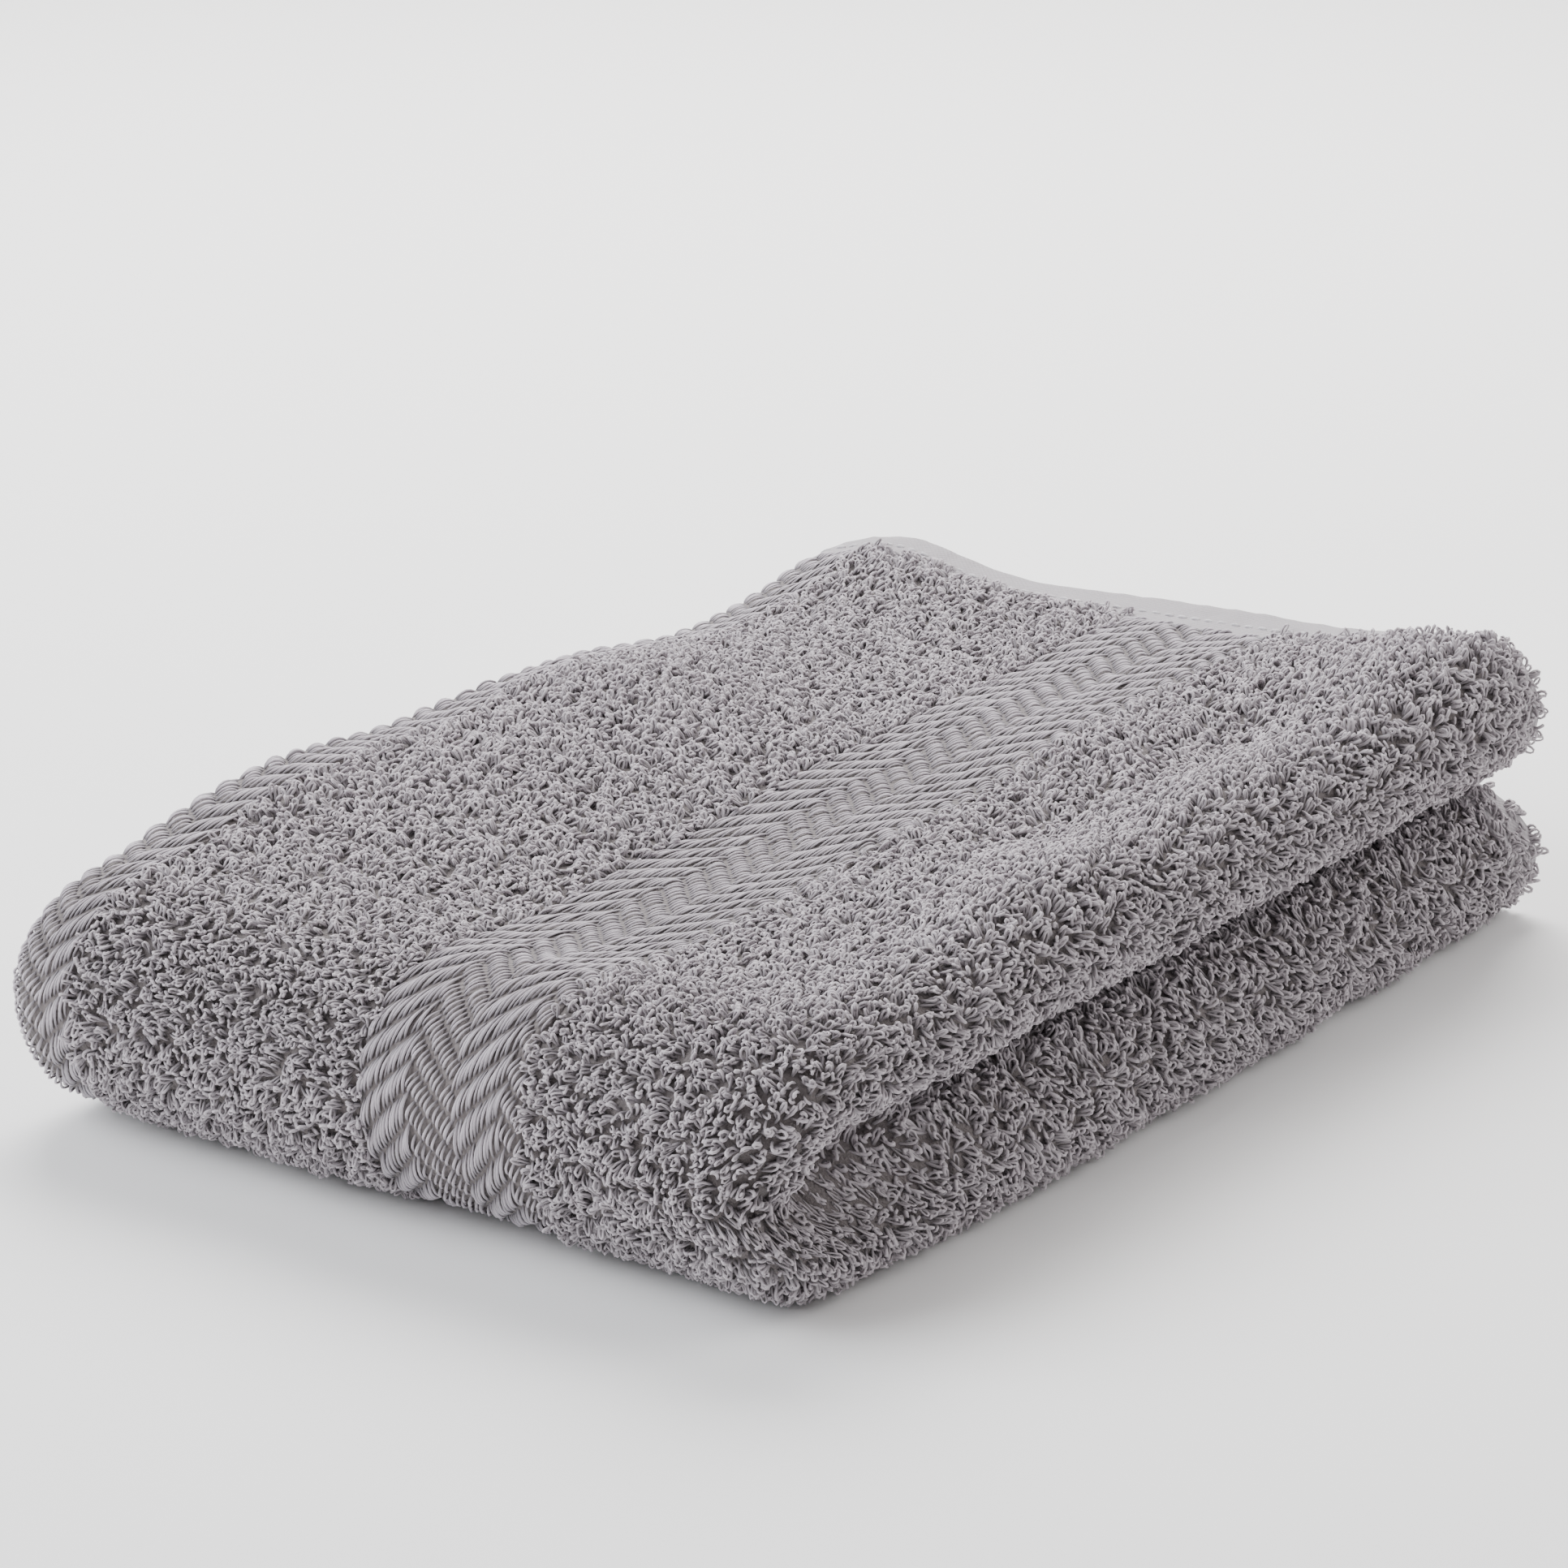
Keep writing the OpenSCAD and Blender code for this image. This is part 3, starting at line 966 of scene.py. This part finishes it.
def make_cloth(name, part, runs, slot, nodes, near):
    """A closed sheet of cloth for one part of the towel, with its flat size kept in DRAWN unless it
    is shorter than LEAST_SHEET.
    """
    first, last = round_span(part, HEM_RUN)
    round_ = steps(first, last, CLOTH_STEP)
    pieces, area, length = [], 0.0, 0.0
    for start, end in runs:
        along = steps(start, end, CLOTH_STEP)
        above, below = cloth_depths(along, slot)
        pieces.append(slab(along, round_, above[:, None], below[:, None]))
        length += end - start
        d = PATH.at(along)[0][:, 0].mean()
        area += (end - start) * ((last - first) if part != "roll" else math.pi * d)
    points, faces = join_parts(pieces)
    piece = make_piece(name, settle(points), [faces])
    dress(piece, GROUND[slot])
    hold(piece, part)
    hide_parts(*[f"{part}_{node}" for node in nodes])
    if length * MM < LEAST_SHEET:
        LOOSE.setdefault(f"{part}_end_cloth", []).append(piece)
    else:
        DRAWN[name] = (piece, (area / length * MM, length * MM))


class TOWEL_OT_cloth(bpy.types.Operator):
    """Makes the woven ground cloth of every layer"""

    bl_idname = "towel.cloth"
    bl_label = "Cloth"

    def execute(self, context):
        build_materials(context.scene.towel_colours)
        for part in PARTS:
            strip, border = (AT["strip"], AT["border"]), (AT["border"], AT["field"])
            pieces = [
                ("strip", [strip], "terry", ["terry_strip"], OUTER_LOW),
                ("border", [border], "herringbone", ["border_band"], OUTER_LOW),
            ]
            if part == "roll":
                for label, low, high in END_DEPTHS:
                    runs = runs_within(low, high, "end_band", "strip")
                    pieces.append((label, runs, "herringbone", ["end_band"], low))
                for label, low, high, nodes in ROLL_DEPTHS:
                    runs = runs_within(low, high)
                    pieces.append((label, runs, "terry", nodes, max(low, INNER)))
            else:
                pieces += [
                    ("end", [(AT["end_band"], AT["strip"])], "herringbone", ["end_band"], HEM_LOW),
                    ("main", [(AT["field"], AT["lining_hem"])], "terry", MAIN_NODES, 0.0),
                ]
            for label, *rest in pieces:
                make_cloth(f"{part}_{label}_cloth", part, *rest)
        return {"FINISHED"}


# Each kind of pile: its name, the stations where it starts and ends, and its least distance from
# the mid plane in the roll, or None where the roll's loops are sorted by their own distance
PILE_RUNS = (
    ("strip", "strip", "border", OUTER_LOW),
    ("field", "field", "lip", OUTER_LOW),
    ("lip", "lip", "base", None),
    ("base", "base", "crease", INNER),
    ("crease", "crease", "middle", None),
)
OUTSIDE = ("strip", "field")
MOST_FACES = 190000  # triangles in one piece of pile
FINE_FACES, PLAIN_FACES = 68, 38  # triangles in one loop
ROUGH_SPACING, QUICK_SPACING = 1.4, 1.5
# Millimetres that the pile keeps clear of the back edge, the hinge and the ends of the roll, and
# how far it goes under the back hem
EDGE_CLEAR, HINGE_CLEAR, ROLL_CLEAR, UNDER_HEM = 1.2, 1.5, 0.6, 1.5
# How high the loops stand when nothing presses them, and the least share that pressing leaves
OPEN_HEIGHT, LEAST_PRESS, CREASE_PRESS = 5.4, 0.3, 0.55


class TOWEL_OT_pile(bpy.types.Operator):
    """Makes the loops of the terry on every face that can be seen, at rest or opened"""

    bl_idname = "towel.pile"
    bl_label = "Pile"

    def execute(self, context):
        pile = context.scene.towel_pile
        rng = np.random.default_rng(SEED)
        for part in PARTS:
            for label, start, end, near in PILE_RUNS:
                outside = label in OUTSIDE
                fine = (part != "lower" and outside) or label == "lip"
                rough = label in ("base", "crease") or (part == "lower" and outside)
                spacing = pile.spacing * (ROUGH_SPACING if rough else 1.0)
                spacing *= 1.0
                inset = ROLL_CLEAR if part == "roll" else 0.0
                first, last = round_span(part, HEM_RUN - UNDER_HEM if outside else EDGE_CLEAR)
                if label == "base" and part == "upper":
                    last -= HINGE_CLEAR
                if label == "base" and part == "lower":
                    first += HINGE_CLEAR
                round_range = (first + inset, last - inset)
                places = scatter(rng, (AT[start], AT[end]), round_range, spacing, part == "roll")
                self.make(pile, rng, part, label, places, fine, near)
        return {"FINISHED"}

    def make(self, pile, rng, part, label, places, fine, near):
        """Splits places into pieces small enough to export, and makes the loops of each."""
        section, normal = PATH.at(places[:, 0])
        if part == "roll" and near is None:
            depth = section[:, 0]
            limits = (INNER, *(layer_d(index) for index in (1, 2, 3, 4)), HALF)
            groups = [
                (np.flatnonzero((depth >= a) & (depth < b)), a)
                for a, b in zip(limits[:-1], limits[1:])
            ]
        else:
            groups = [(np.arange(len(places)), near or 0.0)]
        faces_each = FINE_FACES if fine else PLAIN_FACES
        number = 0
        for members, least in groups:
            if not len(members):
                continue
            order = members[np.argsort(places[members, 1], kind="stable")]
            for chunk in np.array_split(order, math.ceil(len(order) * faces_each / MOST_FACES)):
                number += 1
                press = self.press(label, section[chunk], normal[chunk], places[chunk, 1])
                points, faces, uv, tip = terry_loops(
                    pile, rng, places[chunk, 0], places[chunk, 1], press, fine
                )
                piece = make_piece(f"{part}_{label}_pile_{number}", points, faces, uv=uv, tip=tip)
                finish_piece(piece, "terry", part, self.cloth(part, label, least))

    def cloth(self, part, label, least):
        """The name of the cloth that these loops stand on."""
        if label == "strip":
            return f"{part}_strip_cloth"
        if part != "roll":
            return f"{part}_main_cloth"
        depth = next(name for name, low, _, _ in ROLL_DEPTHS if least >= low)
        return f"roll_{depth}_cloth"

    def press(self, label, section, normal, round_):
        """The share of its height that each loop keeps, pressed between the halves, against the
        hanging end and on the shelf."""
        d, nd = section[:, 0], normal[:, 0]
        room = np.maximum(d - 0.4, 0.5) / np.maximum(np.clip(-nd, 0, 1), 0.05)
        keep = np.clip(room / OPEN_HEIGHT, LEAST_PRESS, 1)
        if label == "crease":
            keep = np.minimum(keep, CREASE_PRESS)
        angle = np.clip(round_ / CLOTH_R, 0, math.pi)
        low = np.clip(-np.cos(angle), 0, 1)
        down = low * np.clip(nd, 0, 1)
        floor_room = (HALF - d * low - 0.3) / np.maximum(down, 0.05)
        return np.minimum(keep, np.clip(floor_room / OPEN_HEIGHT, LEAST_PRESS, 1))


FLOAT_STEPS, FLOAT_SIDES = 7, 4
# Millimetres: how far the floats stay inside the band's edges and inside its two ends, how far
# two floats overlap, and the shortest one kept
BAND_EDGE, BAND_END, FLOAT_OVERLAP, LEAST_FLOAT = 0.3, 0.2, 0.2, 1.5


class TOWEL_OT_bands(bpy.types.Operator):
    """Makes the float threads of the two herringbone bands"""

    bl_idname = "towel.bands"
    bl_label = "Woven bands"

    def execute(self, context):
        weave = context.scene.towel_weave
        rng = np.random.default_rng(SEED + 50)
        for label, start, end in (("border", "border", "field"), ("end", "end_band", "strip")):
            self.band(weave, rng, label, AT[start], AT[end])
        return {"FINISHED"}

    def band(self, weave, rng, label, start, end):
        """The floats of one band, shared out to the three parts."""
        width = end - start
        threads = int(width / weave.thread_pitch)
        first, last = round_span("upper", HEM_RUN)[0], round_span("lower", HEM_RUN)[1]
        ribs = int((last - first) / weave.rib_pitch) + 2
        rib, thread = np.meshgrid(np.arange(-4, ribs), np.arange(threads), indexing="ij")
        rib, thread = rib.ravel(), thread.ravel()
        across = (thread + 0.5) / threads * width
        place, which = across / weave.column_width % 1.0, across // weave.column_width
        climbing = which % 2 == 0
        rise = np.where(climbing, 1 - place, place) * weave.column_width * weave.rib_slope
        reach = np.where(climbing, 0.5, -0.5) * weave.thread_lean * weave.rib_slope
        head = first + rib * weave.rib_pitch + rise - reach - FLOAT_OVERLAP / 2
        tail = head + weave.rib_pitch + 2 * reach + FLOAT_OVERLAP
        head, tail = np.maximum(head, first + BAND_END), np.minimum(tail, last - BAND_END)
        keep = tail - head > LEAST_FLOAT
        head, tail, across = head[keep], tail[keep], across[keep]
        middle = (head + tail) / 2
        depth = PATH.at(start + across)[0][:, 0]
        parts = np.where(middle < 0, 0, np.where(middle > ROLL_LENGTH, 2, 1))
        for number, part in enumerate(PARTS):
            depths = ((label, 0.0, BEYOND),)
            if part == "roll" and label == "end":
                depths = END_DEPTHS
            for name, low, high in depths:
                mine = (parts == number) & (depth >= low) & (depth < high)
                near = low or (HEM_LOW if label == "end" else OUTER_LOW)
                places = head[mine], tail[mine], across[mine]
                self.floats(weave, rng, f"{part}_{name}", part, near, (start, end), places)

    def floats(self, weave, rng, name, part, near, band, places):
        """The floats of one piece, from their heads and tails round the fold and their places
        across the band."""
        head, tail, across = places
        start, end = band
        count = len(head)
        t = np.linspace(0, 1, FLOAT_STEPS)[None, :]
        round_ = head[:, None] + (tail - head)[:, None] * t
        sway = rng.normal(size=(count, 2))
        lean = (weave.thread_lean + 0.5 * sway[:, :1]) * (0.5 - t) + 0.14 * sway[:, 1:]
        along = start + across[:, None] + lean
        arch = weave.arch * (1 + 0.12 * rng.normal(size=(count, 1)))
        lift = FLOAT_LIFT + arch * np.sin(math.pi * t) ** 0.8
        inside = along.clip(start + BAND_EDGE, end - BAND_EDGE)
        point, out, way, _ = sweep(inside, round_)
        point = point + out * lift[..., None]
        radius = weave.thread_radius * (0.8 + 0.2 * np.sin(math.pi * t))
        radius = radius * about_one(rng, (count, 1), *FLOAT_SPREAD)
        points, faces = tubes(point, way[:, FLOAT_STEPS // 2], radius, FLOAT_SIDES)
        shape = (count, FLOAT_STEPS, FLOAT_SIDES)
        # The arched middle of a float counts as its tip; painted shade makes its ends darker, where
        # it dips between the ribs
        tip = np.broadcast_to(np.sin(math.pi * t)[..., None], shape).ravel()
        uv = tube_uv(*shape)
        piece = make_piece(f"{name}_floats", settle(points), faces, uv=uv, tip=tip)
        cloth = f"{name}_cloth" if f"{name}_cloth" in DRAWN else f"{part}_end_cloth"
        finish_piece(piece, "herringbone", part, cloth)


def hem_profile(across, width, thick):
    """Half the thickness of a folded hem across its width, rounded at its two edges."""
    edge = np.minimum(across, width - across).clip(0)
    curve = np.sqrt(np.clip(1 - (1 - np.clip(edge / (thick * 0.5), 0, 1)) ** 2, 0.04, 1))
    return thick / 2 * curve


def make_hem(name, part, along, round_, thick, node, cloth):
    """A folded hem over a grid of the cloth; thick is the half thickness over that grid."""
    a, r = np.meshgrid(along, round_, indexing="ij")
    ripple = 0.22 * waves(a, r, 9, SEED + 31) * np.clip(thick / thick.max(), 0, 1)
    points, faces = slab(along, round_, thick + ripple, thick - ripple)
    piece = make_piece(name, settle(points), [faces])
    finish_piece(piece, "hem", part, cloth)
    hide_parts(node)


HEM_STEP = 3.0
# Places across an end hem, as shares of its width, closer together at its rounded edges
END_PLACES = np.array([0, 0.04, 0.1, 0.2, 0.35, 0.5, 0.65, 0.8, 0.9, 0.96, 1.0])
# Places across a back hem that is 14 mm wide, in millimetres from its edge
BACK_WIDTH = 14
BACK_PLACES = np.array([0, 0.12, 0.4, 0.9, 1.6, 3, 5, 7, 9, 11, 12.5, 13.3, 13.8, 14.6, 16])
HALVES = (("upper", -1), ("lower", 1))


class TOWEL_OT_hems(bpy.types.Operator):
    """Makes the end hems and the folded hems along the back edge of every layer"""

    bl_idname = "towel.hems"
    bl_label = "Hems"

    def execute(self, context):
        for part in PARTS:
            main = "roll_outer_cloth" if part == "roll" else f"{part}_main_cloth"
            round_ = steps(*round_span(part, HEM_RUN), HEM_STEP)
            for label, start, end, near, cloth in (
                ("end_hem", "hem", "end_band", HEM_LOW, f"{part}_end_cloth"),
                ("lining_hem", "lining_hem", "end", PANEL_LOW, main),
            ):
                width = AT[end] - AT[start]
                along = AT[start] + width * END_PLACES
                half = hem_profile(along - AT[start], width, HEM_T)[:, None]
                thick = half * np.ones((1, len(round_)))
                name = f"{part}_{label}"
                make_hem(f"{name}_cloth", part, along, round_, thick, name, cloth)
        for part, sign in HALVES:
            edge = round_span(part)[0 if part == "upper" else 1]
            round_ = np.sort(edge - sign * BACK_PLACES * HEM_RUN / BACK_WIDTH)
            along = steps(AT["hem"], AT["end"], HEM_STEP)
            width = HEM_RUN * BACK_PLACES[-1] / BACK_WIDTH + 2
            half = hem_profile(np.abs(edge - round_), width, HEM_T)[None, :]
            make_hem(
                f"{part}_back_hem", part, along, round_, half * np.ones((len(along), 1)),
                f"{part}_side_hem", f"{part}_main_cloth"
            )
        return {"FINISHED"}


# Length of a stitch, distance from one to the next and radius of the thread, in millimetres
STITCH, STITCH_PITCH, STITCH_RADIUS = 2.9, 4.2, 0.42
STITCH_STEPS, STITCH_SIDES = 5, 6
# Where the seams run, as a share of the hem's width, and how they rise and dip (mm)
BACK_SEAM, END_SEAM, STITCH_DIP, STITCH_RISE = 0.72, 0.78, 0.35, 0.62


class TOWEL_OT_stitches(bpy.types.Operator):
    """Makes the stitches of the hems"""

    bl_idname = "towel.stitches"
    bl_label = "Stitches"

    def execute(self, context):
        for part, sign in HALVES:
            line = round_span(part)[0 if part == "upper" else 1] - sign * HEM_RUN * BACK_SEAM
            along = self.runs(AT["hem"] + 3, AT["base"] - AT["hem"])
            self.make(
                f"{part}_back_stitches", along, np.full(along.shape, line),
                f"{part}_side_stitch", part, f"{part}_main_cloth"
            )
        for part in PARTS:
            first, last = round_span(part, HEM_RUN)
            round_ = self.runs(first + 0.6, last - first)
            self.make(
                f"{part}_end_stitches", np.full(round_.shape, AT["end_band"] * END_SEAM), round_,
                None if part == "roll" else f"{part}_end_stitch", part, f"{part}_end_cloth"
            )
        return {"FINISHED"}

    def runs(self, first, distance):
        """Where each stitch of a seam has its points, one row for each stitch."""
        start = first + STITCH_PITCH * np.arange(int(distance / STITCH_PITCH))
        return start[:, None] + STITCH * np.linspace(0, 1, STITCH_STEPS)[None, :]

    def make(self, name, along, round_, node, part, cloth):
        """One line of stitches: short arched tubes that dip into the hem at both ends."""
        point, out, _, _ = sweep(along, round_)
        count, rows = len(along), np.ones((len(along), 1))
        t = np.linspace(0, 1, STITCH_STEPS)[None, :]
        lift = HEM_T / 2 - STITCH_DIP + STITCH_RISE * np.sin(math.pi * t) ** 0.6 * rows
        centre = point + out * lift[..., None]
        side = np.cross(centre[:, -1] - centre[:, 0], out[:, 2])
        side /= np.maximum(np.linalg.norm(side, axis=-1, keepdims=True), 1e-9)
        radius = np.full(along.shape, STITCH_RADIUS)
        points, faces = tubes(centre, side, radius, STITCH_SIDES)
        uv = tube_uv(count, STITCH_STEPS, STITCH_SIDES)
        piece = make_piece(name, settle(points), faces, uv=uv)
        finish_piece(piece, "thread", part, cloth)
        if node:
            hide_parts(node)


class TOWEL_OT_declare(bpy.types.Operator):
    """Does nothing; sheets are kept in DRAWN and other pieces in LOOSE as they are made"""

    bl_idname = "towel.declare"
    bl_label = "Declare sheets"

    def execute(self, context):
        return {"FINISHED"}


FLOOR_SIZE = 6.0
FLOOR_COLOUR = (0.93, 0.93, 0.93, 1)
WORLD_COLOUR, WORLD_STRENGTH = (1.0, 0.975, 0.975, 1), 0.46
FILL_TURN = -82  # degrees from the camera
# Studio lights: name, turn from the front (None for the fill light) and height in degrees,
# distance and size in metres, share of the key light's power, and tint
LIGHTS = (
    ("key light", 215, 48, 1.6, 1.2, 1.0, (1.0, 0.985, 0.97)),
    ("fill light", None, 35, 2.0, 1.6, 1.12, (0.94, 0.97, 1.0)),
    ("side light", 125, 36, 2.0, 1.2, 0.34, (1.0, 0.98, 0.96)),
)


def towards(turn, height):
    """The direction from the towel to a place turned from the front and raised by these angles."""
    level = math.cos(height)
    return Vector((math.sin(turn) * level, -math.cos(turn) * level, math.sin(height)))


class TOWEL_OT_stage(bpy.types.Operator):
    """Makes the floor, the studio lights and the camera"""

    bl_idname = "towel.stage"
    bl_label = "Stage"

    def execute(self, context):
        stage = context.scene.towel_stage
        scene = context.scene
        corners = ((-1, -1, 0), (1, -1, 0), (1, 1, 0), (-1, 1, 0))
        points = np.array(corners) * FLOOR_SIZE / MM
        floor = make_piece("floor", points, [np.array([[0, 1, 2, 3]])], smooth=False)
        pale = bpy.data.materials.new("Pale floor")
        pale.use_nodes = True
        shader = pale.node_tree.nodes["Principled BSDF"]
        shader.inputs["Base Color"].default_value = FLOOR_COLOUR
        shader.inputs["Roughness"].default_value = 0.9
        floor.data.materials.append(pale)
        world = bpy.data.worlds.new("Studio")
        world.use_nodes = True
        background = world.node_tree.nodes["Background"]
        background.inputs["Color"].default_value = WORLD_COLOUR
        background.inputs["Strength"].default_value = WORLD_STRENGTH
        scene.world = world
        fill_turn = stage.azimuth + math.radians(FILL_TURN)
        for name, turn, height, far, width, share, tint in LIGHTS:
            lamp = bpy.data.lights.new(name, "AREA")
            lamp.size = width
            lamp.energy = stage.key_power * share
            lamp.color = tint
            turn = fill_turn if turn is None else math.radians(turn)
            light = bpy.data.objects.new(name, lamp)
            light.location = far * towards(turn, math.radians(height))
            light.rotation_euler = (-light.location).to_track_quat("-Z", "Y").to_euler()
            scene.collection.objects.link(light)
        back = towards(stage.azimuth, stage.elevation)
        camera = bpy.data.objects.new("camera", bpy.data.cameras.new("camera"))
        camera.data.lens = stage.lens
        camera.data.sensor_width = 36.0
        camera.data.clip_end = 100.0
        camera.location = Vector(stage.aim) + back * stage.distance
        camera.rotation_euler = (-back).to_track_quat("-Z", "Y").to_euler()
        scene.collection.objects.link(camera)
        scene.camera = camera
        return {"FINISHED"}


class TOWEL_PT_panel(bpy.types.Panel):
    """The towel's settings and steps"""

    bl_idname = "TOWEL_PT_panel"
    bl_label = "Folded towel"
    bl_space_type = "VIEW_3D"
    bl_region_type = "UI"
    bl_category = "Towel"

    def draw(self, context):
        for name in SETTINGS:
            box = self.layout.box()
            group = getattr(context.scene, name)
            for prop in group.bl_rna.properties:
                if not prop.is_readonly and prop.identifier != "name":
                    box.prop(group, prop.identifier)
        for operator in OPERATORS:
            self.layout.operator(operator.bl_idname)


OPERATORS = (
    TOWEL_OT_stage,
    TOWEL_OT_cloth,
    TOWEL_OT_hems,
    TOWEL_OT_pile,
    TOWEL_OT_bands,
    TOWEL_OT_stitches,
    TOWEL_OT_declare,
)


def register():
    for cls in (*SETTINGS.values(), *OPERATORS, TOWEL_PT_panel):
        bpy.utils.register_class(cls)
    for name, cls in SETTINGS.items():
        setattr(bpy.types.Scene, name, bpy.props.PointerProperty(type=cls))


def unregister():
    for name in SETTINGS:
        delattr(bpy.types.Scene, name)
    for cls in reversed((*SETTINGS.values(), *OPERATORS, TOWEL_PT_panel)):
        bpy.utils.unregister_class(cls)


def main():
    """Builds the towel around the frame."""
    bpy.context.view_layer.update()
    register()
    for operator in OPERATORS:
        group, action = operator.bl_idname.split(".")
        getattr(getattr(bpy.ops, group), action)()
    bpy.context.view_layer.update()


if __name__ == "__main__":
    main()
